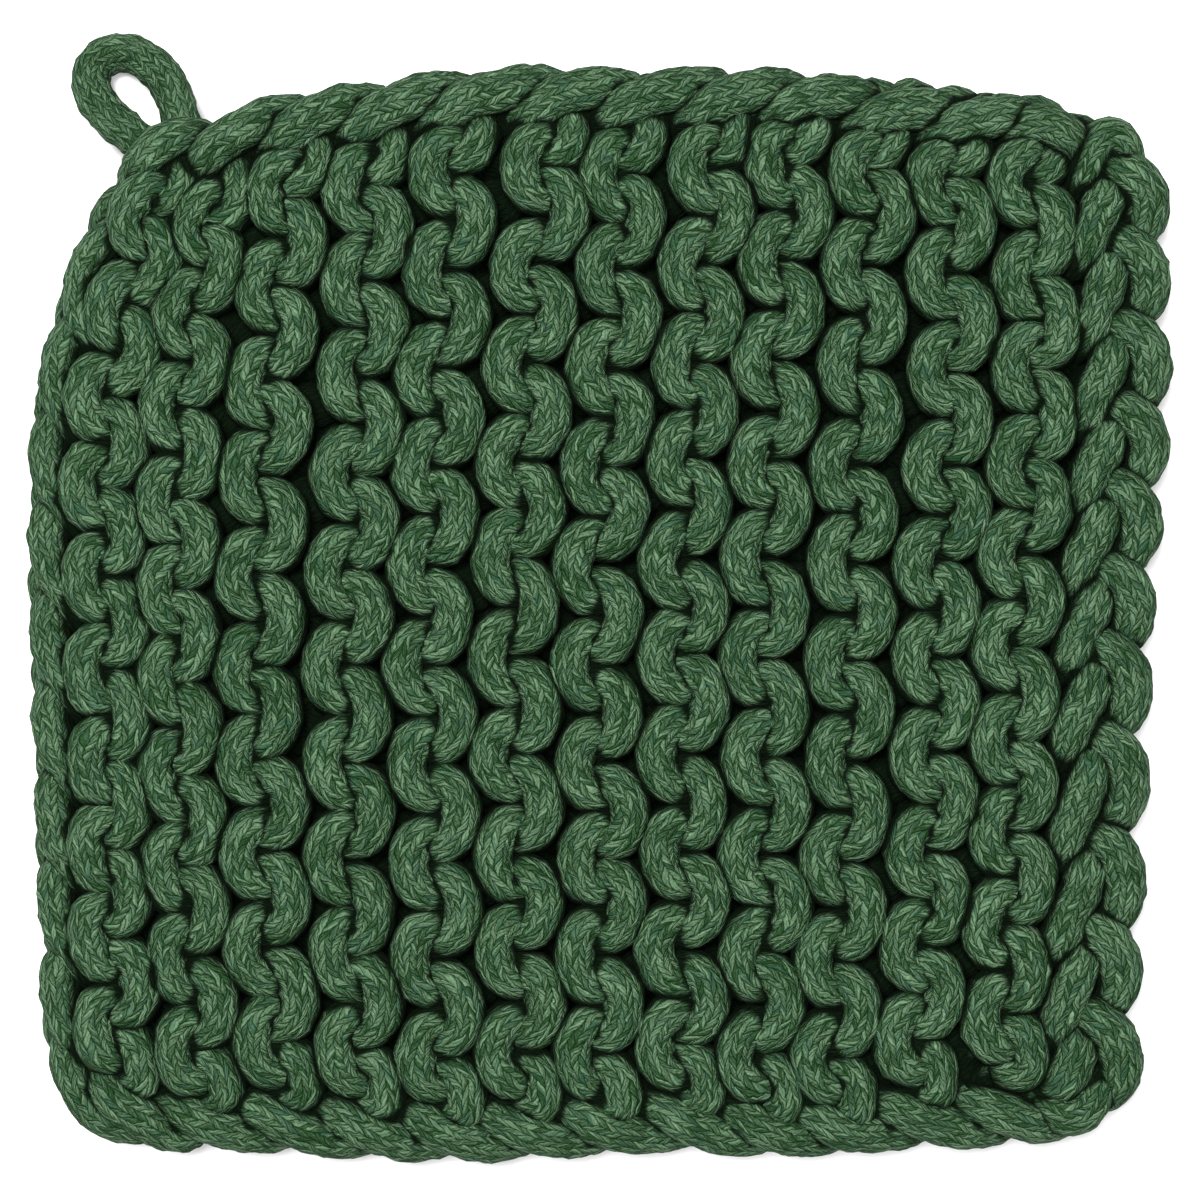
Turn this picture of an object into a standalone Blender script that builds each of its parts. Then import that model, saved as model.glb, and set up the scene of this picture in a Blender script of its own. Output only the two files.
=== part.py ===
"""A hand-knitted pot holder: a garter-stitch square of thick braided cotton cord, with a hanging loop.

The knitted square is one ribbed slab. Its front ribs stand over the hollows between its back ribs,
as in garter stitch, and the crests of the back ribs are flat where the square lies on a surface.
The hanging loop at one corner is a bent length of the same cord.

Metres, +Z up, the square flat on Z = 0 with the hanging loop at its -X, +Y corner.
"""

import math

import bpy
import numpy as np
from mathutils import Vector

MM = 0.001

CORD_DIAMETER = 7.0 * MM
THICKNESS = 17.0 * MM
RIM_HEIGHT = 6.0 * MM  # what is left of the thickness at the very edge
RIM_RUN = 6.0 * MM  # how far in from the edge the thickness is full
FRONT_GROOVE = 4.6 * MM  # depth of the hollow between two front ribs
BACK_GROOVE = 3.4 * MM

# Each front rib is a line that bends a little from the top of the square to the bottom.
RIB_STATIONS_Y = (71.0, 36.0, 0.0, -36.0, -80.0)
# A row for each line: its X at the five stations, then the Y of the outline above and below it.
RIB_TABLE = (
    # X at 71,  36,    0,     -36,   -80     top    bottom
    (-89.6, -99.9, -102.2, -100.6, -98.4, 76.2, -94.5),  # cast-on edge
    (-78.6, -87.9, -88.6, -87.8, -86.3, 83.4, -98.6),  # the first of twelve ribs
    (-69.4, -74.4, -75.7, -74.8, -71.8, 86.8, -98.8),
    (-55.5, -59.6, -60.9, -60.7, -57.5, 90.4, -99.4),
    (-41.5, -42.9, -44.9, -45.0, -42.9, 92.6, -100.4),
    (-26.5, -28.8, -30.4, -29.9, -28.8, 94.6, -100.9),
    (-9.6, -13.2, -15.5, -14.4, -14.4, 95.7, -100.7),
    (4.3, 2.3, -0.5, 0.4, -0.2, 95.0, -99.8),
    (19.8, 16.9, 15.1, 15.1, 14.4, 95.2, -99.2),
    (34.0, 31.3, 29.5, 29.7, 28.8, 94.8, -100.1),
    (48.8, 46.3, 44.5, 44.1, 42.0, 93.0, -99.6),
    (62.8, 63.0, 60.5, 59.3, 56.6, 91.0, -98.6),
    (77.4, 77.9, 75.1, 73.9, 72.0, 89.6, -97.2),  # the twelfth rib
    (90.2, 91.4, 87.6, 86.2, 84.6, 86.6, -94.6),  # bind-off chain
    (99.4, 102.0, 98.8, 97.2, 95.4, 83.8, -90.2),  # bind-off edge
)
STEPS_BETWEEN_RIBS = 6
# How far down each rib the slab has a ring of points, close together where the rim is rounded.
DOWN_THE_RIB = (0.0, 0.012, 0.032, 0.07, 0.17, 0.32, 0.5, 0.68, 0.83, 0.93, 0.968, 0.988, 1.0)

# The hanging loop's centreline, chosen by hand, from the corner up, round and back to the corner.
LOOP_ROUTE = (
    (-75.8, 87.0, 8.2),
    (-76.8, 90.4, 7.4),
    (-78.6, 94.0, 6.2),
    (-81.4, 97.2, 5.0),
    (-84.8, 99.2, 4.2),
    (-88.4, 99.4, 4.0),
    (-91.6, 97.4, 4.2),
    (-92.4, 94.0, 5.0),
    (-91.2, 90.6, 6.2),
    (-88.6, 87.4, 7.2),
    (-85.6, 84.8, 7.8),
    (-83.4, 83.1, 8.2),
)
LOOP_STEPS = 3  # points of the tube to each stretch of the route


def clear_scene():
    for obj in list(bpy.data.objects):
        bpy.data.objects.remove(obj, do_unlink=True)


def cotton(name):
    """Green cotton cord: matt, with no shine."""
    material = bpy.data.materials.new(name)
    material.use_nodes = True
    shader = material.node_tree.nodes["Principled BSDF"]
    shader.inputs["Base Color"].default_value = (0.07, 0.135, 0.07, 1.0)
    shader.inputs["Roughness"].default_value = 0.9
    shader.inputs["Metallic"].default_value = 0.0
    return material


def smooth_through(values, at, knots):
    """A smooth curve through values at the knots, read at the places in at."""
    values = np.asarray(values, float)
    slopes = np.gradient(values, knots)
    place = np.clip(np.searchsorted(knots, at, side="right") - 1, 0, len(knots) - 2)
    step = knots[place + 1] - knots[place]
    t = (at - knots[place]) / step
    start = (2 * t**3 - 3 * t**2 + 1) * values[place] + (t**3 - 2 * t**2 + t) * step * slopes[place]
    end = (3 * t**2 - 2 * t**3) * values[place + 1] + (t**3 - t**2) * step * slopes[place + 1]
    return start + end


def rib_columns():
    """X and Y of every column of points, from the cast-on edge to the bind-off edge."""
    table = np.array(RIB_TABLE) * MM
    ribs = np.arange(len(table), dtype=float)
    across = np.linspace(0, len(table) - 1, (len(table) - 1) * STEPS_BETWEEN_RIBS + 1)
    top = smooth_through(table[:, 5], across, ribs)
    bottom = smooth_through(table[:, 6], across, ribs)
    stations = np.array(RIB_STATIONS_Y[::-1]) * MM
    x_at_station = [smooth_through(table[:, 4 - i], across, ribs) for i in range(len(stations))]
    x_at_station = np.array(x_at_station).T
    xs, ys = [], []
    for column, (high, low) in enumerate(zip(top, bottom)):
        y = high + (low - high) * np.array(DOWN_THE_RIB)
        inside = np.clip(y, stations[0], stations[-1])
        xs.append(smooth_through(x_at_station[column], inside, stations))
        ys.append(y)
    return across, np.array(xs), np.array(ys)


def rim_share(distance):
    """0 at the edge and 1 where the slab has its full thickness, as a quarter round."""
    inwards = np.clip(distance / RIM_RUN, 0, 1)
    return np.sqrt(1 - (1 - inwards) ** 2)


def slab_heights(across, xs, ys):
    """The front and back heights at each point of the slab."""
    from_sides = np.minimum(xs - xs[0], xs[-1] - xs)
    from_ends = np.minimum(ys[:, :1] - ys, ys - ys[:, -1:])
    share = rim_share(from_sides) * rim_share(from_ends)
    to_rib = np.abs(across - np.round(across))[:, None]  # 0 on a front rib, 0.5 between two
    front_rib = 0.5 + 0.5 * np.cos(2 * math.pi * to_rib)
    # The back rib's crest is flat for a third of the pitch, midway between two front ribs.
    back_rib = np.clip((to_rib * STEPS_BETWEEN_RIBS) / 2, 0, 1)
    front = THICKNESS - FRONT_GROOVE * (1 - front_rib)
    back = BACK_GROOVE * (1 - back_rib)
    middle = THICKNESS / 2
    front = middle + RIM_HEIGHT / 2 + (front - middle - RIM_HEIGHT / 2) * share
    back = middle - RIM_HEIGHT / 2 + (back - middle + RIM_HEIGHT / 2) * share
    return front, back


def knitted_pad():
    across, xs, ys = rib_columns()
    front, back = slab_heights(across, xs, ys)
    columns, rows = xs.shape
    points = [(x, y, z) for x, y, z in zip(xs.flat, ys.flat, front.flat)]
    points += [(x, y, z) for x, y, z in zip(xs.flat, ys.flat, back.flat)]
    under = columns * rows

    def at(column, row):
        return column * rows + row

    faces = []
    for c in range(columns - 1):
        for r in range(rows - 1):
            corners = (at(c, r), at(c, r + 1), at(c + 1, r + 1), at(c + 1, r))
            faces.append(corners)
            faces.append(tuple(under + corner for corner in reversed(corners)))
    rim = [at(c, 0) for c in range(columns)]
    rim += [at(columns - 1, r) for r in range(1, rows)]
    rim += [at(c, rows - 1) for c in range(columns - 2, -1, -1)]
    rim += [at(0, r) for r in range(rows - 2, 0, -1)]
    for here, ahead in zip(rim, rim[1:] + rim[:1]):
        faces.append((here, ahead, under + ahead, under + here))
    mesh = bpy.data.meshes.new("knitted_pad")
    mesh.from_pydata(points, [], faces)
    mesh.update()
    mesh.shade_smooth()
    mesh.set_sharp_from_angle(angle=math.radians(50))
    mesh.materials.append(cotton("pad_cotton"))
    pad = bpy.data.objects.new("knitted_pad", mesh)
    bpy.context.scene.collection.objects.link(pad)
    return pad


def hanging_loop():
    route = np.array(LOOP_ROUTE) * MM
    knots = np.arange(len(route), dtype=float)
    along = np.linspace(0, len(route) - 1, (len(route) - 1) * LOOP_STEPS + 1)
    centres = np.stack([smooth_through(route[:, axis], along, knots) for axis in range(3)], 1)
    curve = bpy.data.curves.new("hanging_loop", "CURVE")
    curve.dimensions = "3D"
    curve.bevel_depth = CORD_DIAMETER / 2
    curve.bevel_resolution = 2
    curve.use_fill_caps = True
    spline = curve.splines.new("POLY")
    spline.points.add(len(centres) - 1)
    for point, centre in zip(spline.points, centres):
        point.co = (*Vector(centre), 1.0)
    curve.materials.append(cotton("loop_cotton"))
    loop = bpy.data.objects.new("hanging_loop", curve)
    bpy.context.scene.collection.objects.link(loop)
    return loop


def main():
    clear_scene()
    knitted_pad()
    hanging_loop()


main()
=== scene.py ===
# %% [markdown]
# # A hand-knitted pot holder
# The object is a square of garter stitch, knitted from one length of thick braided cotton cord,
# with a loop of the same cord to hang it by. The script starts from the packed solids, which say
# how big everything is, and puts the real cord in their place, stitch by stitch.

# %% The frame
import math
import bpy
import numpy as np
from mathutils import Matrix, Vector
from mathutils.bvhtree import BVHTree
from mathutils.kdtree import KDTree


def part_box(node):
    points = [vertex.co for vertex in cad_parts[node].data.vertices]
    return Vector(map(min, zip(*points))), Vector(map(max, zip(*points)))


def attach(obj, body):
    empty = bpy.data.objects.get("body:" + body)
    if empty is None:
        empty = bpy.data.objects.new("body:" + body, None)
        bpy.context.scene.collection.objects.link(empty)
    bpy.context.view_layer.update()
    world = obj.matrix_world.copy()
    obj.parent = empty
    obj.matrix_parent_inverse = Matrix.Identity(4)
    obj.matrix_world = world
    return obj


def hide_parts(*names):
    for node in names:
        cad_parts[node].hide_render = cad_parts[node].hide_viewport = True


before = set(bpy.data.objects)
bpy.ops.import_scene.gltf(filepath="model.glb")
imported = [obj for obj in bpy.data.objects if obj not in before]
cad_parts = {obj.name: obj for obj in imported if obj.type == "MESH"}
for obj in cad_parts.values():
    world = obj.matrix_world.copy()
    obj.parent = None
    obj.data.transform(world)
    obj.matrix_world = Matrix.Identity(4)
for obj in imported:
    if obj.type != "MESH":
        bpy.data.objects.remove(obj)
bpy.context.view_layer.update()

# %% [markdown]
# ## The camera
# A camera could stand anywhere, but a knitted square says most about its stitches when it is seen
# straight from above. A long lens far away was chosen over a short one close by, because it keeps
# the stitches at the edges as upright as those in the middle. The camera is made first, because
# everything else is judged through it.

# %% Camera
MM = 0.001
VIEW_WIDTH = 213.6 * MM
LENS = 100.0
SENSOR = 36.0


def straight_down_camera():
    camera = bpy.data.objects.new("camera", bpy.data.cameras.new("camera"))
    camera.data.lens = LENS
    camera.data.sensor_width = SENSOR
    camera.data.clip_start = 0.01
    height = VIEW_WIDTH * LENS / SENSOR
    camera.location = (0.0, 0.0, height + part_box("knitted_pad")[1][2])
    bpy.context.scene.collection.objects.link(camera)
    bpy.context.scene.camera = camera
    return height


print("camera height over the face:", round(straight_down_camera(), 3))

# %% [markdown]
# ## The knitted ground
# Garter stitch is a grid. Every row of loops runs up the square, and each ridge on the face is
# where the heads of one row hook round the feet of the next. The grid could be a plain array, but
# hand knitting bulges and leans, so lines for the twelve ridges and the two edges, each with a
# slight bend, carry the whole fabric. A place in the fabric is then a course, counted in ridges
# from the left, and a wale, counted in stitches from the top. All sizes of the knit are in
# millimetres, and become metres only when a mesh is made.

# %% Ridge lines, in millimetres
STATIONS_Y = (71.0, 36.0, 0.0, -36.0, -80.0)
RIDGES = (
    # X at 71,  36,    0,     -36,   -80     outline top, bottom   first and last stitch
    (-89.6, -99.9, -102.2, -100.6, -98.4, 76.2, -94.5, 73.5, -84.0),  # cast-on edge
    (-78.6, -87.9, -88.6, -87.8, -86.3, 83.4, -98.6, 76.4, -84.7),  # first ridge
    (-69.4, -74.4, -75.7, -74.8, -71.8, 86.8, -98.8, 75.6, -88.5),
    (-55.5, -59.6, -60.9, -60.7, -57.5, 90.4, -99.4, 81.3, -87.6),
    (-41.5, -42.9, -44.9, -45.0, -42.9, 92.6, -100.4, 82.9, -89.5),
    (-26.5, -28.8, -30.4, -29.9, -28.8, 94.6, -100.9, 85.4, -91.0),
    (-9.6, -13.2, -15.5, -14.4, -14.4, 95.7, -100.7, 86.5, -89.7),
    (4.3, 2.3, -0.5, 0.4, -0.2, 95.0, -99.8, 85.3, -90.2),
    (19.8, 16.9, 15.1, 15.1, 14.4, 95.2, -99.2, 86.3, -88.8),
    (34.0, 31.3, 29.5, 29.7, 28.8, 94.8, -100.1, 87.2, -90.2),
    (48.8, 46.3, 44.5, 44.1, 42.0, 93.0, -99.6, 86.0, -91.0),
    (62.8, 63.0, 60.5, 59.3, 56.6, 91.0, -98.6, 84.0, -87.6),
    (77.4, 77.9, 75.1, 73.9, 72.0, 89.6, -98.4, 82.8, -82.8),  # twelfth ridge
    (91.4, 92.2, 88.6, 87.2, 86.0, 86.6, -96.2, 76.5, -80.0),  # bind-off chain
)
TOP_OUTLINE, BOTTOM_OUTLINE, FIRST_STITCH, LAST_STITCH = 5, 6, 7, 8  # columns of the table
LAST_RIDGE = 12
STITCHES = 11
ROWS = 24
RIDGE_TABLE = np.array(RIDGES)
COURSES = np.arange(len(RIDGE_TABLE), dtype=float)
STATIONS = np.array(STATIONS_Y[::-1])
print("ridges:", LAST_RIDGE, "stitches in each:", STITCHES, "lines in the table:", len(RIDGES))

# %% Places in the fabric


def smooth_through(values, at, knots):
    """A smooth curve through values at the knots, read at the places in at."""
    values, at = np.asarray(values, float), np.asarray(at, float)
    slopes = np.gradient(values, knots, axis=0)
    place = np.clip(np.searchsorted(knots, at, side="right") - 1, 0, len(knots) - 2)
    step = knots[place + 1] - knots[place]
    t = (at - knots[place]) / step
    if values.ndim > 1:
        step, t = step[:, None], t[:, None]
    start = (2 * t**3 - 3 * t**2 + 1) * values[place] + (t**3 - 2 * t**2 + t) * step * slopes[place]
    end = (3 * t**2 - 2 * t**3) * values[place + 1] + (t**3 - t**2) * step * slopes[place + 1]
    return start + end


def ridge_column(course, column):
    """One column of the table, read at any course."""
    return float(smooth_through(RIDGE_TABLE[:, column], course, COURSES))


def ridge_x(course, y):
    """X of the line for this course at the height y."""
    last = len(STATIONS) - 1
    at_stations = [ridge_column(course, last - i) for i in range(len(STATIONS))]
    return float(smooth_through(at_stations, np.clip(y, STATIONS[0], STATIONS[-1]), STATIONS))


def fabric(course, wale):
    """X and Y of a course and a wale on the flat fabric."""
    first, last = ridge_column(course, FIRST_STITCH), ridge_column(course, LAST_STITCH)
    y = first - wale * (first - last) / (STITCHES - 1)
    return ridge_x(course, y), y


print("middle of the fabric, mm:", [round(v, 1) for v in fabric(6.5, 5.0)])

# %% [markdown]
# ## One stitch
# A row is a wave that swings between two ridges. On a ridge it makes a round lobe that shows,
# and between the ridges it dives through the fabric to the other face. A stitch could be modelled
# once and copied, but then every stitch would be the same. Here half a lobe is a few points of a
# half ellipse, and the same few points, turned and moved a little, make every stitch. Past the
# ends of a lobe the cord is squeezed by its neighbours, so it gets thinner there.

# %% Half a lobe
CORD_RADIUS = 3.85
THICKNESS = 17.0
MIDDLE = THICKNESS / 2
FACE_Z = THICKNESS - CORD_RADIUS
BACK_Z = CORD_RADIUS
LOBE_SWING = 4.4
LOBE_HALF_HEIGHT = 5.2
# A row for each point of half a lobe: its angle, its drop into the fabric, the cord's girth, and
# how firmly it keeps its neighbours away, because a squeezed cord gives way.
LOBE = (
    # angle, drop, girth, firmness
    (0, 0.0, 1.03, 1.0),
    (32, 0.1, 1.05, 1.0),
    (64, 0.4, 1.05, 0.8),
    (92, 1.1, 1.02, 0.5),
    (116, 3.0, 0.94, 0.3),
)
LEG_GIRTH = 0.68
LEG_FIRMNESS = 0.35
print("layers of cord at z, mm:", BACK_Z, FACE_Z)

# %% An uneven hand
# No hand knits evenly: each lobe is turned, moved, swung, stretched and lifted a little.
HAND = np.random.default_rng(7)
MOST_UNEVEN = 1.8  # how many times the usual unevenness a stitch may have
TURN_DEGREES = 2.6
MOVE_X, MOVE_Y = 0.3, 0.35
MORE_SWING, MORE_HEIGHT = 0.05, 0.03
LIFT = 0.3
EVEN = (0.0, 0.0, 0.0, 1.0, 1.0, 0.0)
UNEVEN = {}
for half_course in range(1, 2 * (LAST_RIDGE + 1) + 1):
    for half_wale in range(2 * STITCHES):
        turn, x, y, swing, height, lift = HAND.normal(0, 1, 6).clip(-MOST_UNEVEN, MOST_UNEVEN)
        sizes = (1 + swing * MORE_SWING, 1 + height * MORE_HEIGHT)
        UNEVEN[half_course, half_wale] = (turn * TURN_DEGREES, x * MOVE_X, y * MOVE_Y, *sizes, lift * LIFT)
print("lobes with a turn and a lift of their own:", len(UNEVEN))

# %% Lobes
# The first lobe of a row sinks under the top edge and the last one is squashed by the bottom edge.
TOP_SINK, TOP_SINK_MIDDLE, TOP_SINK_TILT, TOP_DROP = 4.2, 0.55, 0.45, 1.2
BOTTOM_SQUASH, BOTTOM_RISE, BOTTOM_LEAN, BOTTOM_SINK = 0.62, 1.4, 1.4, 0.8


def layer_z(course):
    """Whole courses are ridges of the face, half courses are ridges of the back."""
    return FACE_Z if abs(course - round(course)) < 0.1 else BACK_Z


def half_lobe(course, wale, side, towards):
    """Points down one half of a lobe: side is 1 for heads and -1 for feet, towards 1 is up."""
    x, y = fabric(course, wale)
    uneven = UNEVEN.get((round(course * 2), round(wale * 2)), EVEN)
    turn, move_x, move_y, wider, taller, lift = uneven
    turn = math.radians(turn)
    z = layer_z(course)
    inwards = 1 if z < MIDDLE else -1
    points = []
    for angle, drop, girth, firm in LOBE:
        outwards = math.sin(math.radians(angle))
        swing = LOBE_SWING * wider * math.cos(math.radians(angle)) * side
        along = LOBE_HALF_HEIGHT * taller * outwards * towards
        across = swing * math.cos(turn) - along * math.sin(turn) + move_x
        along = swing * math.sin(turn) + along * math.cos(turn) + move_y
        if wale == STITCHES - 1:
            if towards < 0:
                along *= BOTTOM_SQUASH
                across += BOTTOM_LEAN * outwards
            along += BOTTOM_RISE
            drop += BOTTOM_SINK
        if wale == 0:
            drop += TOP_SINK * (TOP_SINK_MIDDLE + TOP_SINK_TILT * towards * outwards)
            along -= TOP_DROP
        points.append((x + across, y + along, z + (drop - min(lift, 0)) * inwards, girth, firm))
    return points


def lobe(course, wale, side):
    """A whole lobe, from its upper end to its lower one."""
    return half_lobe(course, wale, side, 1)[::-1] + half_lobe(course, wale, side, -1)[1:]


print("points in a lobe:", len(lobe(6.0, 5, 1)))

# %% A row
QUARTER = 0.25  # the cord goes through the fabric a quarter of a stitch above and below a head
ROW_START = -0.18
ROW_END = STITCHES - 1 + 0.4


def crossing(course, wale):
    """Half way through the fabric, where the cord is squeezed thin."""
    return (*fabric(course, wale), MIDDLE, LEG_GIRTH, LEG_FIRMNESS)


def row_points(row):
    """The cord of one row, from the top of the square to the bottom."""
    feet, heads = row / 2, (row + 1) / 2
    between = (feet + heads) / 2
    points = []
    for stitch in range(STITCHES):
        points.append(crossing(between, stitch - QUARTER if stitch else ROW_START))
        points += lobe(heads, stitch, 1)
        points.append(crossing(between, stitch + QUARTER))
        if stitch < STITCHES - 1:
            points += lobe(feet, stitch + 0.5, -1)
    points.append(crossing(between, ROW_END))
    return np.array(points)


print("points in a row:", len(row_points(3)))

# %% [markdown]
# ## From points to an even line
# A curve object could join the points by itself, but its steps would be long on the straights and
# short in the bends, and the braid would be stretched with them. So the points are joined here by
# a smooth curve, and that is cut again into short equal steps.

# %% Even line
STEP = 0.82
FINE = 12  # steps of the smooth curve to each point of the list, before it is cut evenly


def run_along(line):
    """How far along the cord each of its points is."""
    steps = np.linalg.norm(np.diff(line[:, :3], axis=0), axis=1)
    return np.concatenate([[0], np.cumsum(steps)])


def length_of(line):
    return float(run_along(line)[-1])


def even_line(points, step=STEP):
    """A smooth line through the points, cut into equal steps."""
    points = np.asarray(points, float)
    gaps = np.sqrt(np.linalg.norm(np.diff(points[:, :3], axis=0), axis=1))
    knots = np.concatenate([[0], np.cumsum(gaps)])
    dense = smooth_through(points, np.linspace(0, knots[-1], len(points) * FINE), knots)
    run = run_along(dense)
    count = max(4, int(round(run[-1] / step)) + 1)
    even = np.linspace(0, run[-1], count)
    return np.stack([np.interp(even, run, column) for column in dense.T], 1)


print("cord in a row, mm:", round(length_of(even_line(row_points(3)))))

# %% [markdown]
# ## Cords that press on each other
# Real stitches are held in place by their neighbours. The lobes above are put down one by one, so
# some of them cut into each other. A cloth simulation could sort that out, but it is slow and
# would lose the places that were chosen. A few rounds of a simple rule are enough: points of two
# cords that are too close are pushed apart, each cord keeps its own curve, and every point is
# pulled back a little to where it was put.

# %% Which points touch
NEIGHBOURS = 6  # points of one cord that are nearer along it than this don't count as touching


def touching(points, body, strand, place):
    """Pairs of points whose cords may touch, as two lists of numbers."""
    tree = KDTree(len(points))
    for index, point in enumerate(points):
        tree.insert(point, index)
    tree.balance()
    first, second = [], []
    for index, point in enumerate(points):
        for _, other, _ in tree.find_range(point, body[index] + CORD_RADIUS):
            apart = strand[other] != strand[index] or place[other] - place[index] > NEIGHBOURS
            if other > index and apart:
                first.append(index)
                second.append(other)
    return np.array(first), np.array(second)


print("neighbours along a cord that never count as touching:", NEIGHBOURS)

# %% Pushing them apart
# Cotton gives: cords may press into each other a little before they push apart.
CONTACT = 0.84
PUSH = 0.6
HOLD_LOBE = 0.22
HOLD_LEG = 0.07
LOBE_GIRTH = 0.9  # where the cord is fuller than this it is part of a lobe
ROUNDS = 40
ROUNDS_WITH_A_LIST = 6


def pushed_apart(points, body, first, second):
    """How far each point is pushed, and how deep the cords cut into each other."""
    count = len(points)
    apart = points[second] - points[first]
    distance = np.linalg.norm(apart, axis=1)
    overlap = np.clip(CONTACT * (body[first] + body[second]) - distance, 0, None)
    push = apart / distance[:, None] * overlap[:, None] ** 2 * 0.5
    move = [np.bincount(second, part, count) - np.bincount(first, part, count) for part in push.T]
    weight = 1e-6 + (np.bincount(second, overlap, count) + np.bincount(first, overlap, count))
    return PUSH * np.stack(move, 1) / weight[:, None], overlap.max()


def relax(lines):
    """Presses the cords apart where they cut into each other and lets each keep its own curve."""
    all_points = np.concatenate(lines)
    points, girth = all_points[:, :3].copy(), all_points[:, 3]
    body = all_points[:, 4] * CORD_RADIUS
    strand = np.concatenate([np.full(len(line), i) for i, line in enumerate(lines)])
    place = np.concatenate([np.arange(len(line)) for line in lines])
    inner = np.flatnonzero((strand[1:-1] == strand[:-2]) & (strand[1:-1] == strand[2:])) + 1
    home = points.copy()
    shape = home[inner] - (home[inner - 1] + home[inner + 1]) / 2
    hold = np.where(girth > LOBE_GIRTH, HOLD_LOBE, HOLD_LEG)[:, None]
    for turn in range(ROUNDS):
        if turn % ROUNDS_WITH_A_LIST == 0:
            first, second = touching(points, body, strand, place)
        move, deepest = pushed_apart(points, body, first, second)
        points += move
        for _ in range(2):
            bend = (points[inner - 1] + points[inner + 1]) / 2 + shape - points[inner]
            points[inner] += 0.5 * bend
        points += hold * (home - points)
        points[:, 2] = np.clip(points[:, 2], girth * CORD_RADIUS, THICKNESS - girth * CORD_RADIUS)
    moved = np.linalg.norm(points - home, axis=1).mean()
    print("pairs:", len(first), "moved by, mm:", moved.round(2), "deepest cut, mm:", deepest.round(2))
    ends = np.cumsum([len(line) for line in lines])[:-1]
    return np.split(np.column_stack([points, all_points[:, 3:]]), ends)


print("share of its thickness that a cord gives way by:", round(1 - CONTACT, 2))


# %% [markdown]
# ## The top and bottom edges
# At both ends of the rows the cord turns back and makes a chain of slanting bumps, and the back
# has the same chain half a ridge further on. The bumps could be left to the ends of the rows, but
# the outline of the square would be ragged then. So each bump is a short cord with its own points,
# placed by a course and by how far it lies inside the outline.

# %% Helpers for short cords
SQUEEZED = 2.6  # how quickly a cord that is squeezed thin gives way


def firm_where_full(points):
    """Adds how firm the cord is at each point: it gives way where it is squeezed thin."""
    points = np.array(points)
    return np.column_stack([points, points[:, 3].clip(0, 1) ** SQUEEZED])


def short_cord(rows, place):
    """Points from rows of (first, second, z, girth), the first two turned into X and Y by place."""
    return firm_where_full([(*place(first, second), z, girth) for first, second, z, girth in rows])


def turned_over(points, inwards_x=0.0, inwards_y=0.0):
    """The same cord on the back of the square, a little further in."""
    shift = np.array([inwards_x, inwards_y, THICKNESS, 0.0, 0.0])
    return points * (1, 1, -1, 1, 1) + shift


def along_outline(course, offset, column):
    """X and Y on the outline in that column of the table, moved up by the offset."""
    course = min(max(course, 0.0), float(LAST_RIDGE + 1))
    y = ridge_column(course, column) + offset
    return ridge_x(course, y), y


print("outline over the first ridge, mm:", [round(v, 1) for v in along_outline(1, 0, TOP_OUTLINE)])

# %% Bumps of the two edges
TOP_BUMP = (
    # course, below the outline, z, girth
    (-0.3, 9.8, 6.5, 0.75),
    (-0.2, 8.2, 10.2, 0.98),
    (0.06, 6.5, 12.6, 1.04),
    (0.42, 4.8, 12.8, 1.04),
    (0.76, 3.8, 11.2, 1.0),
    (1.02, 4.2, 9.0, 0.9),
    (1.2, 5.8, 6.8, 0.75),
)
BOTTOM_BUMP = (
    # course, above the outline, z, girth
    (-0.58, 9.4, 6.5, 0.75),
    (-0.44, 8.4, 9.8, 0.95),
    (-0.14, 7.0, 12.0, 1.0),
    (0.26, 5.2, 12.0, 1.0),
    (0.64, 4.1, 10.6, 0.97),
    (0.92, 4.4, 8.8, 0.9),
    (1.12, 6.0, 6.6, 0.75),
)


def top_bump(k):
    """A turn of the cord at the top edge: a round end low on the left, and a tail up to the right."""
    return short_cord(TOP_BUMP, lambda course, below: along_outline(k + course, -below, TOP_OUTLINE))


def bottom_bump(k):
    """A turn at the bottom edge: a blunt end high on the left, and a tail down to the right."""
    return short_cord(BOTTOM_BUMP, lambda course, above: along_outline(k + course, above, BOTTOM_OUTLINE))


print("length of a bump, mm:", round(length_of(top_bump(6))), round(length_of(bottom_bump(6))))

# %% [markdown]
# ## The cast-on and the bind-off
# The left edge is the cast-on. It shows as one slanting cord for each stitch, which goes in under
# the first ridge. The right edge is the bind-off: a chain pulled tight by hand, so every link has
# its own height. One link could be repeated evenly, but that looks like a machine's work, so the
# middles of the links are listed, and the gap between two of them sets how tall a link is.

# %% Cast-on
CAST_ON = (
    # wale, x from the first ridge, z, girth
    (-0.45, -7.0, 6.0, 0.8),
    (-0.28, -9.0, 8.4, 0.95),
    (0.05, -10.2, 9.4, 1.0),
    (0.42, -9.4, 9.6, 1.0),
    (0.78, -7.0, 9.0, 0.95),
    (1.05, -4.0, 6.5, 0.8),
)


def cast_on_strand(stitch):
    """The cord of one cast-on stitch, down the left edge and in under the first ridge."""

    def place(wale, x_from_ridge):
        x, y = fabric(1, stitch + wale)
        return x + x_from_ridge, y

    return short_cord(CAST_ON, place)


print("length of a cast-on strand, mm:", round(length_of(cast_on_strand(5))))

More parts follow.
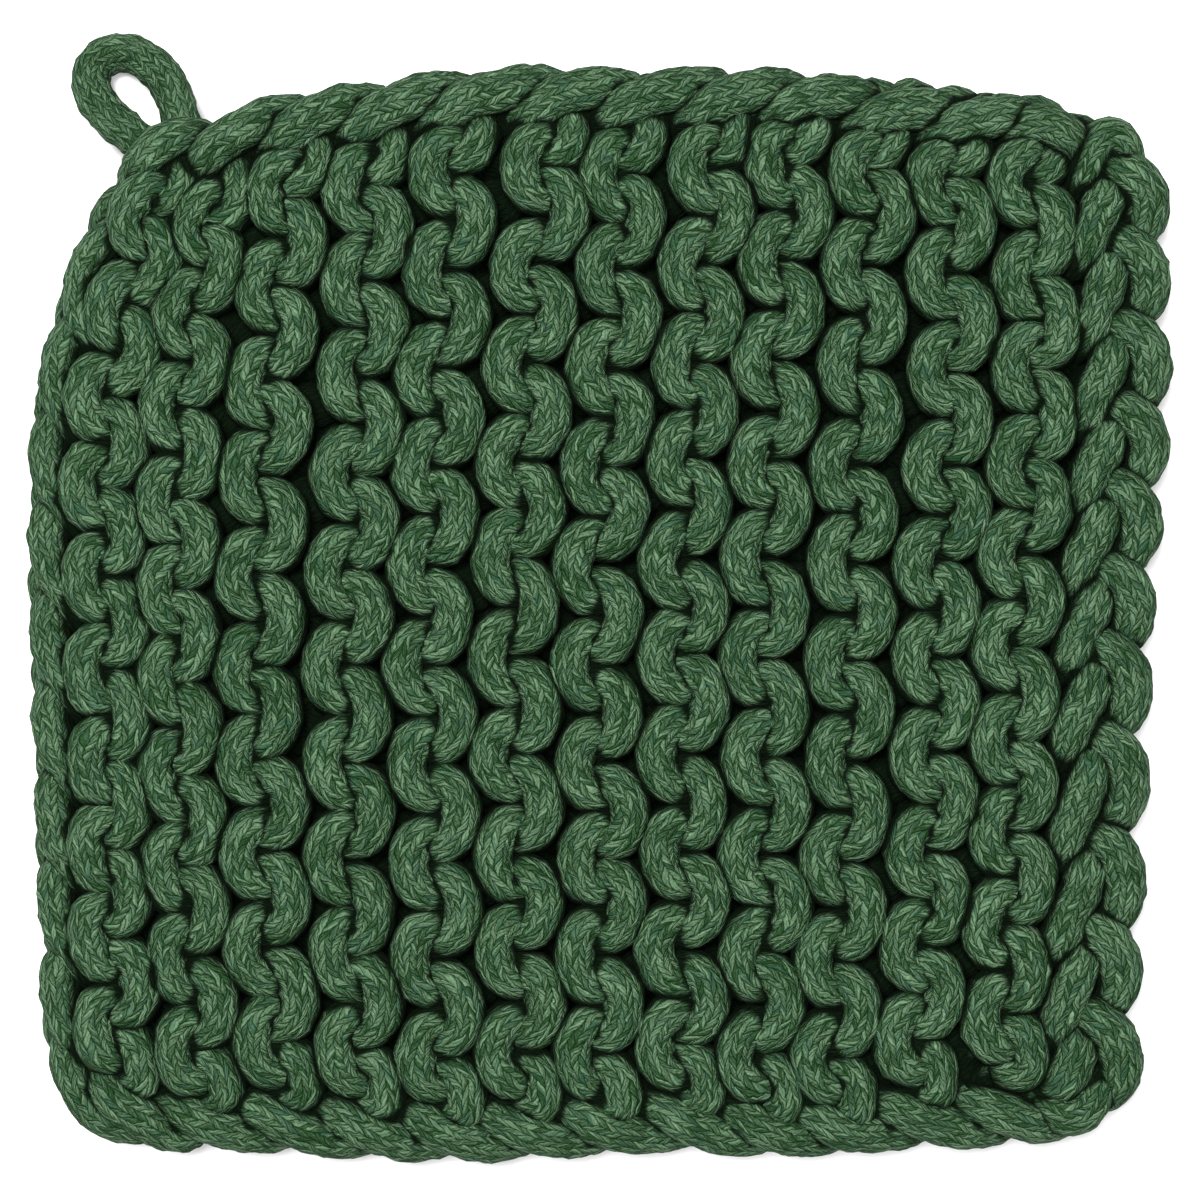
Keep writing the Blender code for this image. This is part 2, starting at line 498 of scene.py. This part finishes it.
# %% Bind-off
BIND_OFF_Y = (71.8, 58.2, 43.0, 28.7, 14.6, -0.3, -14.7, -31.5, -49.6, -65.5, -80.6)
LOWEST_LEG_Y = -87.0
INNER_HALF = (
    # x from the twelfth ridge, share of the gap, z, girth
    (8.8, -0.98, 7.0, 0.8),
    (9.4, -0.82, 10.6, 0.95),
    (10.6, -0.56, 12.6, 1.02),
    (12.2, -0.24, 12.8, 1.04),
    (13.6, 0.06, 12.0, 1.0),
    (14.6, 0.3, 9.4, 0.85),
    (15.0, 0.42, 7.0, 0.75),
)
OUTER_HALF = (
    # x from the twelfth ridge, share of the gap, z, girth
    (12.6, 0.46, 7.4, 0.78),
    (15.2, 0.44, 10.8, 0.98),
    (18.6, 0.28, 12.0, 1.08),
    (20.4, -0.02, 11.8, 1.12),
    (19.6, -0.33, 11.0, 1.08),
    (17.0, -0.54, 9.2, 0.96),
    (14.0, -0.6, 6.6, 0.78),
)


def bind_off_leg(y, gap):
    """The inner half of a link, slanting up and out."""
    x_ridge = ridge_x(LAST_RIDGE, y)
    return short_cord(INNER_HALF, lambda x, share: (x_ridge + x, max(y + share * gap, LOWEST_LEG_Y)))


def bind_off_lobe(y, gap):
    """The outer half of a link, a fat round lobe at the very edge."""
    x_ridge = ridge_x(LAST_RIDGE, y)
    return short_cord(OUTER_HALF, lambda x, share: (x_ridge + x, y + share * gap))


print("links:", len(BIND_OFF_Y), "apart, mm:", round(float(-np.diff(BIND_OFF_Y).mean()), 1))

# %% [markdown]
# ## The corners
# At a corner two edges meet and the cord takes a turn of its own, which no rule of the edges
# gives. The few cords there are listed point by point.

# %% Corner cords
CORNER_CORDS = (
    # X, Y, z, girth
    (  # over the roots of the hanging loop
        (-83.4, 69.5, 7.0, 0.75),
        (-83.4, 73.5, 9.8, 0.92),
        (-81.8, 77.6, 11.6, 1.0),
        (-78.6, 80.8, 12.4, 1.0),
        (-74.8, 82.6, 11.4, 0.95),
        (-71.8, 83.0, 9.0, 0.85),
        (-69.0, 81.8, 6.6, 0.75),
    ),
    (  # the last turn of the top edge, down to the right
        (72.6, 81.6, 7.0, 0.8),
        (74.4, 84.6, 10.4, 0.95),
        (78.2, 85.2, 12.0, 1.0),
        (82.4, 83.0, 12.0, 1.0),
        (85.4, 80.6, 10.0, 0.9),
        (87.2, 78.4, 7.0, 0.75),
    ),
    (  # the bump at the top right corner
        (86.8, 72.6, 7.4, 0.8),
        (87.6, 78.0, 10.6, 0.98),
        (90.0, 82.2, 12.0, 1.04),
        (92.4, 81.6, 12.0, 1.04),
        (93.4, 77.2, 10.6, 1.0),
        (93.0, 72.8, 8.0, 0.8),
    ),
    (  # round the bottom right corner, up to the last link
        (77.2, -88.4, 7.4, 0.8),
        (79.6, -91.4, 10.2, 0.94),
        (83.4, -92.8, 11.6, 1.0),
        (87.6, -90.8, 11.6, 1.0),
        (90.6, -86.6, 10.4, 0.96),
        (92.2, -82.4, 7.4, 0.8),
    ),
    (  # round the bottom left corner
        (-92.5, -73.5, 6.6, 0.75),
        (-94.6, -78.6, 8.8, 0.94),
        (-93.6, -85.4, 10.0, 1.0),
        (-90.6, -91.0, 10.0, 1.0),
        (-86.4, -93.6, 9.4, 1.0),
        (-82.2, -94.2, 8.2, 0.9),
        (-79.0, -92.6, 6.6, 0.75),
    ),
    (  # the first turn of the bottom edge
        (-91.2, -83.0, 7.0, 0.75),
        (-89.8, -86.2, 10.6, 0.95),
        (-86.4, -89.6, 12.4, 1.0),
        (-81.6, -92.6, 12.0, 1.0),
        (-76.6, -95.2, 10.4, 0.95),
        (-72.6, -95.6, 7.6, 0.8),
    ),
)
print("corner cords:", len(CORNER_CORDS))

# %% [markdown]
# ## Node trees as sums
# Both the tube and the braid need node trees, which are slow to read when every node and link has
# a line of its own. A small class wraps one socket, so that adding two of them adds a Math node,
# and one method makes any other node from its type, its settings and its inputs.

# %% Signal


class Signal:
    """A socket of a node tree that can be added, multiplied and compared like a number."""

    def __init__(self, tree, socket=None):
        self.tree, self.socket = tree, socket

    def node(self, kind, settings=None, inputs=None, output=0):
        """Makes a node in the same tree and gives the signal of one of its outputs."""
        made = self.tree.nodes.new(kind)
        for name, value in (settings or {}).items():
            setattr(made, name, value)
        for name, value in (inputs or {}).items():
            if isinstance(value, Signal):
                self.tree.links.new(value.socket, made.inputs[name])
            else:
                made.inputs[name].default_value = value
        return Signal(self.tree, made.outputs[output] if made.outputs else None)

    def other(self, output):
        """Another output of the node that this signal comes from."""
        return Signal(self.tree, self.socket.node.outputs[output])

    def maths(self, operation, *others):
        values = dict(enumerate((self, *others)))
        return self.node("ShaderNodeMath", {"operation": operation}, values)

    def __add__(self, other):
        return self.maths("ADD", other)

    def __sub__(self, other):
        return self.maths("SUBTRACT", other)

    def __mul__(self, other):
        return self.maths("MULTIPLY", other)

    def __truediv__(self, other):
        return self.maths("DIVIDE", other)

    def __mod__(self, other):
        return self.maths("FLOORED_MODULO", other)

    def __pow__(self, other):
        return self.maths("POWER", other)

    def __rsub__(self, other):
        return (self * -1.0) + other

    __radd__, __rmul__ = __add__, __mul__

    def floor(self):
        return self.maths("FLOOR")

    def abs(self):
        return self.maths("ABSOLUTE")

    def sin(self):
        return self.maths("SINE")

    def ramp(self, low, high):
        """0 below low, 1 above high, and a soft step between them."""
        inputs = {"Value": self, "From Min": low, "From Max": high}
        return self.node("ShaderNodeMapRange", {"interpolation_type": "SMOOTHSTEP"}, inputs)

    def vector(self, y, z):
        return self.node("ShaderNodeCombineXYZ", {}, {"X": self, "Y": y, "Z": z})

    def noise(self, scale, detail=2.0):
        """Soft noise over a place, mostly from 0.3 to 0.7."""
        return self.node("ShaderNodeTexNoise", {}, {"Vector": self, "Scale": scale, "Detail": detail})

    def chance(self):
        """One number from 0 to 1 for each place, with no link to its neighbours."""
        return self.node("ShaderNodeTexWhiteNoise", {"noise_dimensions": "3D"}, {"Vector": self})

    def mix(self, first, second):
        """A colour between two, with this signal as the share of the second."""
        inputs = {0: self, 6: first, 7: second}  # the sockets for a factor and two colours
        return self.node("ShaderNodeMix", {"data_type": "RGBA"}, inputs, 2)


print("a signal can:", [name for name in vars(Signal) if not name.startswith("_")])

# %% [markdown]
# ## The tube along the line
# The cord is a thick round braid that is never quite even: it has soft lumps where it is packed
# tighter. A tube could be lofted ring by ring in Python, but Geometry Nodes have it ready. The
# tree sweeps a circle along each line, makes it thick or thin by the line's own radius, moves
# every point in or out by a little noise, and gives it the cotton.

# %% Cord tree
SIDES = 20
LUMP_HEIGHT = 1.3 * MM  # from the lowest hollow to the highest lump, which the noise seldom reaches
LUMPS_IN_A_METRE = 400.0
CORD_INPUTS = (
    ("Geometry", "NodeSocketGeometry"),
    ("Sides", "NodeSocketInt"),
    ("Cord Radius", "NodeSocketFloat"),
    ("Lump Height", "NodeSocketFloat"),
    ("Lumps In A Metre", "NodeSocketFloat"),
    ("Material", "NodeSocketMaterial"),
)


def cord_tree():
    tree = bpy.data.node_groups.new("cord_along_line", "GeometryNodeTree")
    for name, kind in CORD_INPUTS:
        tree.interface.new_socket(name, in_out="INPUT", socket_type=kind)
    tree.interface.new_socket("Geometry", in_out="OUTPUT", socket_type="NodeSocketGeometry")
    line = Signal(tree).node("NodeGroupInput", output="Geometry")
    circle_inputs = {"Resolution": line.other("Sides"), "Radius": line.other("Cord Radius")}
    circle = line.node("GeometryNodeCurvePrimitiveCircle", {}, circle_inputs)
    girth = line.node("GeometryNodeInputRadius")
    sweep = {"Curve": line, "Profile Curve": circle, "Scale": girth, "Fill Caps": True}
    tube = line.node("GeometryNodeCurveToMesh", {}, sweep)
    lumps = {"Scale": line.other("Lumps In A Metre"), "Detail": 1.0}
    rise = (line.node("ShaderNodeTexNoise", {}, lumps) - 0.5) * line.other("Lump Height")
    outwards = {"Vector": line.node("GeometryNodeInputNormal"), "Scale": rise}
    push = line.node("ShaderNodeVectorMath", {"operation": "SCALE"}, outwards)
    cord = line.node("GeometryNodeSetPosition", {}, {"Geometry": tube, "Offset": push})
    cord = line.node("GeometryNodeSetShadeSmooth", {}, {"Geometry": cord})
    cord = line.node("GeometryNodeRealizeInstances", {}, {"Geometry": cord})
    cotton = {"Geometry": cord, "Material": line.other("Material")}
    cord = line.node("GeometryNodeSetMaterial", {}, cotton)
    line.node("NodeGroupOutput", {}, {"Geometry": cord})
    return tree


CORD_TREE = cord_tree()
print("cord tree, nodes:", len(CORD_TREE.nodes), "inputs:", [name for name, _ in CORD_INPUTS])

# %% Lines to a mesh


def line_curve(name, lines):
    """A curve object with one spline for each line, whose radius is the cord's girth."""
    curve = bpy.data.curves.new(name, "CURVE")
    curve.dimensions = "3D"
    for line in lines:
        spline = curve.splines.new("POLY")
        spline.points.add(len(line) - 1)
        places = np.ones((len(line), 4))
        places[:, :3] = line[:, :3] * MM
        spline.points.foreach_set("co", places.ravel())
        spline.points.foreach_set("radius", line[:, 3])
    obj = bpy.data.objects.new(name, curve)
    bpy.context.scene.collection.objects.link(obj)
    return obj


def press_flat(mesh):
    """Where the cord lies on the table its lumps are pressed flat."""
    place = np.empty(len(mesh.vertices) * 3)
    mesh.vertices.foreach_get("co", place)
    place = place.reshape(-1, 3)
    place[:, 2] = place[:, 2].clip(0.0, THICKNESS * MM)
    mesh.vertices.foreach_set("co", place.ravel())
    mesh.update()


def cord_piece(name, lines, material):
    """Makes the tubes of one piece and leaves them as a plain mesh."""
    obj = line_curve(name, lines)
    modifier = obj.modifiers.new("cord", "NODES")
    modifier.node_group = CORD_TREE
    values = {
        "Sides": SIDES,
        "Cord Radius": CORD_RADIUS * MM,
        "Lump Height": LUMP_HEIGHT,
        "Lumps In A Metre": LUMPS_IN_A_METRE,
        "Material": material,
    }
    for socket in CORD_TREE.interface.items_tree:
        if socket.name in values:
            modifier[socket.identifier] = values[socket.name]
    graph = bpy.context.evaluated_depsgraph_get()
    mesh = bpy.data.meshes.new_from_object(obj.evaluated_get(graph))
    curve = obj.data
    bpy.data.objects.remove(obj)
    bpy.data.curves.remove(curve)
    mesh.name = name
    press_flat(mesh)
    piece = bpy.data.objects.new(name, mesh)
    bpy.context.scene.collection.objects.link(piece)
    return piece


print("rings of a cord, mm apart:", STEP, "corners in a ring:", SIDES)

# %% [markdown]
# ## A map for the braid
# The braid has to bend with the cord, so it can't be laid on by place in space. Unwrapping the
# tube by hand would do, but the tube is made of rings, so the map can be written down directly:
# U goes once round a ring, and V is the length along the cord, which goes on from one cord to the
# next as in one long length.

# %% Braid map


def braid_map(mesh, lines, used):
    """Writes the map, V starting at the length of cord used so far, and gives the new length."""
    ring_v = []
    for line in lines:
        run = run_along(line)
        ring_v.append(used + run * MM)
        used += run[-1] * MM
    ring_v = np.concatenate(ring_v)
    corner = np.empty(len(mesh.loops), int)
    mesh.loops.foreach_get("vertex_index", corner)
    size = np.empty(len(mesh.polygons), int)
    mesh.polygons.foreach_get("loop_total", size)
    face = np.repeat(np.arange(len(size)), size)
    side = corner % SIDES
    # The last face of a ring ends on the first side again, which counts as a full turn there.
    last = np.zeros(len(size), bool)
    np.logical_or.at(last, face, side == SIDES - 1)
    u = np.where(last[face] & (side == 0) & (size[face] == 4), SIDES, side) / SIDES
    layer = mesh.uv_layers.new(name="braid")
    layer.data.foreach_set("uv", np.stack([u, ring_v[corner // SIDES]], 1).ravel())
    return used


print("faces in a turn of the map:", SIDES)

# %% [markdown]
# ## How deep in the knit
# Between the cords a knit is very dark, because light that goes in seldom comes out. Lamps alone
# give that only with many bounces, and an exported model loses it. So each point of the cords
# looks round for other cords close by, and keeps the share of directions that are blocked. That
# share is painted into the colour as shade.

# %% Looking round
LOOKS = 10
LOOK_AHEAD = 9 * MM
CLEAR_OF_ITSELF = 0.15 * MM
GOLDEN_TURN = math.pi * (3 - math.sqrt(5))


def hemisphere(count):
    """Directions all over the half sphere round +Z, closer together towards its pole."""
    index = np.arange(count) + 0.5
    height = np.sqrt(1 - index / count)
    flat = np.sqrt(1 - height**2)
    return np.stack([flat * np.cos(index * GOLDEN_TURN), flat * np.sin(index * GOLDEN_TURN), height], 1)


def shut_in(place, normal, tree):
    """The share of the directions away from each point in which another cord is close by."""
    side = np.cross(normal, np.where(np.abs(normal[:, :1]) < 0.7, (1.0, 0, 0), (0, 1.0, 0)))
    side /= np.linalg.norm(side, axis=1)[:, None]
    other = np.cross(normal, side)
    blocked = np.zeros(len(place))
    start = place + normal * CLEAR_OF_ITSELF
    for x, y, z in hemisphere(LOOKS):
        aim = side * x + other * y + normal * z
        for index in range(len(place)):
            if tree.ray_cast(start[index], aim[index], LOOK_AHEAD)[0] is not None:
                blocked[index] += 1 / LOOKS
    return blocked


print("directions looked in:", len(hemisphere(LOOKS)))

# %% Hollow map


def fill_between(found, rings):
    """Values for all rings and sides, from those of every second ring and side."""
    found = np.concatenate([found, found[:, :1]], 1)
    sides = [np.interp(np.arange(SIDES), np.arange(0, SIDES + 1, 2), row) for row in found]
    looked = np.arange(0, rings, 2)
    return np.array([np.interp(np.arange(rings), looked, column) for column in np.array(sides).T]).T


def hollow_map(mesh, lines, tree):
    """An attribute that says how shut in each point is: 0 in the open, 1 deep between the cords. It sets
    the painted shade.
    """
    place, normal = np.empty(len(mesh.vertices) * 3), np.empty(len(mesh.vertices) * 3)
    mesh.vertices.foreach_get("co", place)
    mesh.vertex_normals.foreach_get("vector", normal)
    place, normal = place.reshape(-1, SIDES, 3), normal.reshape(-1, SIDES, 3)
    shut, first = [], 0
    for line in lines:
        rings = slice(first, first + len(line))
        some, facing = place[rings][::2, ::2], normal[rings][::2, ::2]
        found = shut_in(some.reshape(-1, 3), facing.reshape(-1, 3), tree)
        shut.append(fill_between(found.reshape(some.shape[:2]), len(line)))
        first += len(line)
    shut = np.concatenate(shut).ravel()
    layer = mesh.attributes.new("hollow", "FLOAT", "POINT")
    layer.data.foreach_set("value", shut)
    return float(shut.mean())


print("rings and sides filled in from 3 and 10:", fill_between(np.zeros((3, SIDES // 2)), 5).shape)

# %% [markdown]
# ## The braid
# The cord is a round braid of many cotton yarns. Seen close up it is columns of short slanting
# floats, and neighbouring columns slant opposite ways, so that they make chevrons. Modelled as
# yarns it would take millions of faces, so a pattern on the cord's own map gives its colour and
# relief. First comes the place in the braid: the column, how far across it, and how many plaits
# along the cord. Two kinds of noise make the columns wander, as they do in a soft cord.

# %% Place in the braid
BRAID_COLUMNS = 20
PLAIT = 1.75 * MM
SLANT = 1.05
WOBBLES_IN_A_METRE, WOBBLE = 520.0, 0.8
SWAYS_IN_A_METRE, SWAY = 170.0, 1.8
WOBBLE_ALONG = 0.35


def braid_place(start, place):
    """The column, the place across it from -0.5 to 0.5, and the plaits counted along the cord."""
    uv = start.node("ShaderNodeUVMap", {"uv_map": "braid"}, {}, "UV")
    u = start.node("ShaderNodeSeparateXYZ", {}, {"Vector": uv}, "X")
    v = u.other("Y")
    wobble = place.noise(WOBBLES_IN_A_METRE) - 0.5
    sway = place.noise(SWAYS_IN_A_METRE, 1.0) - 0.5
    around = u * BRAID_COLUMNS + wobble * WOBBLE + sway * SWAY
    column = around.floor()
    across = around - column - 0.5
    odd = column % 2.0
    lean = 1.0 - odd * 2.0
    along = v / PLAIT + odd * 0.5 + across * lean * SLANT + wobble * WOBBLE_ALONG
    return column % BRAID_COLUMNS, across, along


print("columns round the cord:", BRAID_COLUMNS, "plait, mm:", round(PLAIT / MM, 2))

# %% [markdown]
# ## Relief and colour of the cotton
# Each plait is a short cushion of two yarns, and the yarns are bundles of fibres that run with
# them. The humps and the fibres together give the height that the bump follows. Painting the
# yarns one green would look like plastic: dyed cotton is speckled, so each yarn and each plait
# has its own luck with the dye, some yarns are bluer, and a few fibres are pale. On top of that
# the colour has painted light and shade: the tops of the humps are painted a little lighter, and
# the gaps between the plaits and the hollows between the cords are painted nearly black as shade.

# %% Relief
YARNS_IN_A_PLAIT = 2
FIBRES_ALONG, FIBRES_ACROSS, FIBRES_APART = 18.0, 3.4, 3.7
FIBRE_HEIGHT = 0.6


def braid_relief(column, across, along):
    """The braid's height, the cushion of its plaits, which is low in the gaps, and the fibres."""
    in_plait = along - along.floor()
    in_yarn = along * YARNS_IN_A_PLAIT - (along * YARNS_IN_A_PLAIT).floor()
    plait_hump = 1.0 - (in_plait * 2.0 - 1.0).abs() ** 4.0
    yarn_hump = (in_yarn * math.pi).sin()
    column_hump = 1.0 - (across * 2.0).abs() ** 2.2
    fibres = (along * FIBRES_ALONG).vector(across * FIBRES_ACROSS, column * FIBRES_APART).noise(1.0, 3.0)
    humps = (plait_hump * 0.5 + yarn_hump * 0.5) * (column_hump * 0.85 + 0.15)
    relief = humps + (fibres - 0.5) * FIBRE_HEIGHT
    cushion = plait_hump * column_hump + (fibres - 0.5) * 0.5
    return relief, cushion, fibres


print("yarns in a plait:", YARNS_IN_A_PLAIT)

# %% Colour
# This near-black green is painted shade for the hollows between the cords.
HOLLOW_SHADE_GREEN = (0.0004, 0.004, 0.0004, 1.0)
# This dark green is painted shade for the valleys and gaps of the braid.
BRAID_SHADE_GREEN = (0.0025, 0.014, 0.0025, 1.0)
DARK_GREEN = (0.0125, 0.045, 0.013, 1.0)
LIGHT_GREEN = (0.126, 0.222, 0.123, 1.0)
BLUE_GREEN = (0.030, 0.085, 0.052, 1.0)
PALE_FIBRE = (0.22, 0.32, 0.21, 1.0)
GRAINS_IN_A_METRE = 2600.0
# The last of these paints light: it makes the tops of the braid's humps lighter.
YARN_LUCK, PLAIT_LUCK, GRAIN, PAINTED_LIGHT_ON_TOP = 0.55, 0.2, 0.7, 0.25
MIDDLE_TONE = 0.98


def dyed_yarns(column, across, along, relief, fibres, place):
    """The green of each yarn, from dark to light, with bluer yarns, pale fibres and painted light on the
    humps.
    """
    plait, yarn = along.floor(), (along * YARNS_IN_A_PLAIT).floor()
    luck = column.vector(yarn, 9.0).chance() * YARN_LUCK + column.vector(plait, 3.0).chance() * PLAIT_LUCK
    grain = place.noise(GRAINS_IN_A_METRE)
    # The relief term is painted light: higher parts of the braid get a lighter green.
    tone = luck + fibres + grain * GRAIN + relief * PAINTED_LIGHT_ON_TOP - MIDDLE_TONE
    colour = tone.ramp(0.08, 0.86).mix(DARK_GREEN, LIGHT_GREEN)
    bluer = column.vector(yarn, 21.0).chance().ramp(0.72, 1.0)
    colour = (bluer * 0.6).mix(colour, BLUE_GREEN)
    pale = (along * 60.0).vector(across * 2.0, column * 5.1).noise(1.0, 1.0).ramp(0.66, 0.8)
    return (pale * 0.6).mix(colour, PALE_FIBRE)


def with_painted_shade(colour, relief, cushion):
    """Painted shade: darker in the braid's valleys, between its plaits and between the cords."""
    # Painted shade in the valleys of the braid and in the gaps between its plaits.
    painted_valley_shade = 1.0 - relief.ramp(-0.04, 0.42)
    colour = (painted_valley_shade * 0.5).mix(colour, BRAID_SHADE_GREEN)
    painted_gap_shade = 1.0 - cushion.ramp(0.0, 0.34)
    colour = (painted_gap_shade * 0.9).mix(colour, BRAID_SHADE_GREEN)
    # Painted shade in the hollows between the cords: the more shut in a point, the nearer its colour to
    # black.
    hollow = relief.node("ShaderNodeAttribute", {"attribute_name": "hollow"}, {}, "Fac")
    return (hollow.ramp(0.24, 0.66) * 0.98).mix(colour, HOLLOW_SHADE_GREEN)


print("greens from", DARK_GREEN[:3], "to", LIGHT_GREEN[:3])

# %% Green cotton
RELIEF_DEPTH = 0.55 * MM


def braided_cotton(name):
    material = bpy.data.materials.new(name)
    material.use_nodes = True
    tree = material.node_tree
    shader = tree.nodes["Principled BSDF"]
    start = Signal(tree)
    place = start.node("ShaderNodeTexCoord", {}, {}, "Object")
    column, across, along = braid_place(start, place)
    relief, cushion, fibres = braid_relief(column, across, along)
    colour = with_painted_shade(dyed_yarns(column, across, along, relief, fibres, place), relief, cushion)
    bump = relief.node("ShaderNodeBump", {}, {"Height": relief, "Strength": 1.0, "Distance": RELIEF_DEPTH})
    tree.links.new(colour.socket, shader.inputs["Base Color"])
    tree.links.new(bump.socket, shader.inputs["Normal"])
    shader.inputs["Roughness"].default_value = 0.9
    shader.inputs["Specular IOR Level"].default_value = 0.06
    return material


GREEN_COTTON = braided_cotton("green_cotton")
print("braid:", BRAID_COLUMNS, "columns, nodes:", len(GREEN_COTTON.node_tree.nodes))

# %% [markdown]
# ## Knitting it
# Now the whole square is laid out: twenty-four rows, the bumps of the two edges on the face and
# on the back, the cast-on, the bind-off and the corners. All cords settle against each other at
# once, in coarse steps, and are cut finely afterwards.

# %% All cords
SOLVE_STEP = 1.5
INSET = 3.4  # how far the back's edge cords lie inside the face's


def edge_points():
    """The points of every short cord round the square, on the face and on the back."""
    edges = [top_bump(k) for k in range(2, LAST_RIDGE)]
    edges += [bottom_bump(k) for k in range(2, LAST_RIDGE + 1)]
    edges += [turned_over(top_bump(k + 0.5), 0, -INSET) for k in range(1, LAST_RIDGE - 1)]
    edges += [turned_over(bottom_bump(k + 0.5), 0, INSET) for k in range(1, LAST_RIDGE)]
    edges += [cast_on_strand(stitch) for stitch in range(1, STITCHES - 1)]
    for y, gap in zip(BIND_OFF_Y, np.abs(np.gradient(BIND_OFF_Y))):
        edges += [bind_off_leg(y, gap), bind_off_lobe(y, gap)]
        if y > BIND_OFF_Y[-1]:
            edges.append(turned_over(bind_off_lobe(y - gap / 2, gap), -INSET, 0))
    return edges + [firm_where_full(cord) for cord in CORNER_CORDS]


laid_out = [row_points(row) for row in range(1, ROWS + 1)] + edge_points()
laid_out = [even_line(cord, SOLVE_STEP) for cord in laid_out]
print("cord in the rows, m:", round(sum(map(length_of, laid_out[:ROWS])) * MM, 2))
print("cord at the edges, m:", round(sum(map(length_of, laid_out[ROWS:])) * MM, 2))
settled = [even_line(line) for line in relax(laid_out)]

# %% Pieces of the knit
ROWS_IN_A_PIECE = 6  # so that no piece has more than 200,000 triangles
knit = {}
for start in range(0, ROWS, ROWS_IN_A_PIECE):
    end = start + ROWS_IN_A_PIECE
    knit[f"garter_rows_{start + 1}_to_{end}"] = settled[start:end]
knit["edge_cords"] = settled[ROWS:]
pieces = {}
cord_used = 0.0
for name, lines in knit.items():
    pieces[name] = cord_piece(name, lines, GREEN_COTTON)
    cord_used = braid_map(pieces[name].data, lines, cord_used)
    print(name, "faces:", len(pieces[name].data.polygons))
print("cord in the whole knit, m:", round(cord_used, 2))

# %% Hollows of the knit


def tree_of(meshes):
    """One tree of all the tubes' walls, to look for cords in. The ends of the cords are left out."""
    corners, walls, first = [], [], 0
    for mesh in meshes:
        corners += [vertex.co[:] for vertex in mesh.vertices]
        four_sided = [face.vertices for face in mesh.polygons if len(face.vertices) == 4]
        walls += [tuple(first + v for v in face) for face in four_sided]
        first += len(mesh.vertices)
    return BVHTree.FromPolygons(corners, walls)


knit_tree = tree_of([piece.data for piece in pieces.values()])
# How shut in each point is, which sets the painted shade of the cotton.
for name, lines in knit.items():
    print(name, "shut in:", round(hollow_map(pieces[name].data, lines, knit_tree), 2))

# %% Hand the knit over
for piece in pieces.values():
    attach(piece, "root")
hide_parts("knitted_pad")
print("knit handed over:", len(pieces), "pieces")

# %% [markdown]
# ## The hanging loop
# The cord leaves the knitting at the upper left corner, makes a small eye for a hook, and goes
# back in. A torus would be too regular, so its route is a list of points, and both ends are
# hidden under the corner's own cord. It is the same cord as the rest, held a little tighter.

# %% Hanging loop
LOOP_ROUTE = (
    (-73.6, 80.0, 7.5),
    (-74.8, 83.6, 8.6),
    (-75.8, 87.0, 8.2),
    (-76.8, 90.4, 7.4),
    (-78.6, 94.0, 6.2),
    (-81.4, 97.2, 5.0),
    (-84.8, 99.2, 4.2),
    (-88.4, 99.4, 4.0),
    (-91.6, 97.4, 4.2),
    (-92.4, 94.0, 5.0),
    (-91.2, 90.6, 6.2),
    (-88.6, 87.4, 7.2),
    (-85.6, 84.8, 7.8),
    (-82.6, 82.2, 8.2),
    (-79.8, 79.2, 7.4),
)
LOOP_GIRTH = 0.92
LOOP_STEP = 0.7
loop_line = even_line([(x, y, z, LOOP_GIRTH) for x, y, z in LOOP_ROUTE], LOOP_STEP)
loop = cord_piece("loop_cord", [loop_line], GREEN_COTTON)
cord_used = braid_map(loop.data, [loop_line], cord_used)
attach(loop, "root")
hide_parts("hanging_loop")
print("loop, mm:", round(length_of(loop_line), 1), "all the cord, m:", round(cord_used, 2))

# %% [markdown]
# ## The stage
# A pale matt floor and two soft square lamps are all that the cord needs. A small hard lamp would
# show the braid more strongly, but it would also throw black shadows between the stitches, so
# both lamps are wide, and a faint white sky lifts what they leave dark.

# %% Floor
FLOOR_HALF = 1.2


def pale_floor():
    corners = [(x * FLOOR_HALF, y * FLOOR_HALF, 0.0) for x, y in ((-1, -1), (1, -1), (1, 1), (-1, 1))]
    mesh = bpy.data.meshes.new("floor")
    mesh.from_pydata(corners, [], [(0, 1, 2, 3)])
    material = bpy.data.materials.new("pale_floor")
    material.use_nodes = True
    shader = material.node_tree.nodes["Principled BSDF"]
    shader.inputs["Base Color"].default_value = (0.9, 0.9, 0.9, 1)
    shader.inputs["Roughness"].default_value = 1.0
    mesh.materials.append(material)
    floor = bpy.data.objects.new("floor", mesh)
    bpy.context.scene.collection.objects.link(floor)
    return floor


pale_floor()
print("floor side, m:", 2 * FLOOR_HALF)

# %% Light


def soft_light(name, place, size, power):
    light = bpy.data.lights.new(name, "AREA")
    light.shape = "SQUARE"
    light.size = size
    light.energy = power
    lamp = bpy.data.objects.new(name, light)
    lamp.location = place
    lamp.rotation_euler = (-Vector(place)).to_track_quat("-Z", "Y").to_euler()
    bpy.context.scene.collection.objects.link(lamp)


def faint_sky(strength):
    world = bpy.data.worlds.new("studio")
    world.use_nodes = True
    sky = world.node_tree.nodes["Background"]
    sky.inputs["Color"].default_value = (1, 1, 1, 1)
    sky.inputs["Strength"].default_value = strength
    bpy.context.scene.world = world


soft_light("key_light", (-0.2, 0.3, 1.3), 0.5, 34.0)
soft_light("fill_light", (0.3, -0.25, 1.4), 0.6, 12.0)
faint_sky(0.12)
bpy.context.scene.view_settings.view_transform = "Standard"

# %% [markdown]
# ## Size and finish
# The cord has to fill the same box as the solids that it stands for, and the frame takes the
# pieces over.
